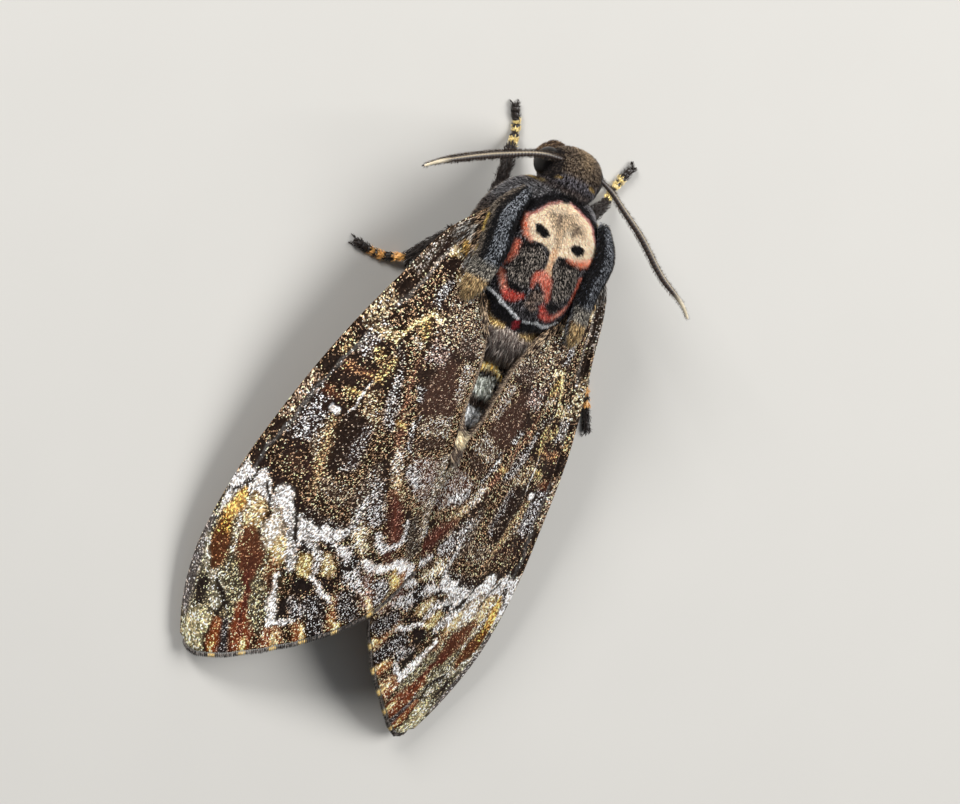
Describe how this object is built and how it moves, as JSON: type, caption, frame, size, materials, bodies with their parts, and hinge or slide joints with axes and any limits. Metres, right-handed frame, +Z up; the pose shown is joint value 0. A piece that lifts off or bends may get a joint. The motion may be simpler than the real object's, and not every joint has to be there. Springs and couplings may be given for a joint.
{
  "type": "greater death's head hawkmoth at rest",
  "caption": "Still, life-size hawkmoth at rest: furred thorax with a skull-like mark, patterned forewings folded like a low roof over a banded abdomen, stout antennae and ringed legs.",
  "frame": {"origin": "middle of the footprint, on the plane that the feet stand on", "axes": "+Z up, the moth faces -Y, its left side is +X"},
  "size_m": [0.0434, 0.0738, 0.0153],
  "materials": {
    "brown_fur": "short dense fur, speckled dark brown",
    "slate_fur": "short dense fur, slate grey with pale tips",
    "abdomen_scales": "flat scales in yellow, black and blue-grey bands",
    "forewing_scales": "fine matt scales, dark brown with gold and white",
    "hindwing_scales": "fine matt scales, ochre with brown bands",
    "eye": "glossy black-brown",
    "horn": "satin dark horn",
    "leg_scales": "satin, black-brown with cream rings"
  },
  "bodies": {
    "root": {"thorax": "brown_fur", "head": "brown_fur", "abdomen": "abdomen_scales", "tegula_left": "slate_fur", "tegula_right": "slate_fur", "eye_left": "eye", "eye_right": "eye", "palp_left": "brown_fur", "palp_right": "brown_fur", "proboscis": "horn", "antenna_left": "horn", "antenna_right": "horn", "forewing_left": "forewing_scales", "forewing_right": "forewing_scales", "hindwing_left": "hindwing_scales", "hindwing_right": "hindwing_scales", "leg_fore_left": "leg_scales", "leg_fore_right": "leg_scales", "leg_mid_left": "leg_scales", "leg_mid_right": "leg_scales", "leg_hind_left": "leg_scales", "leg_hind_right": "leg_scales"}
  },
  "joints": []
}
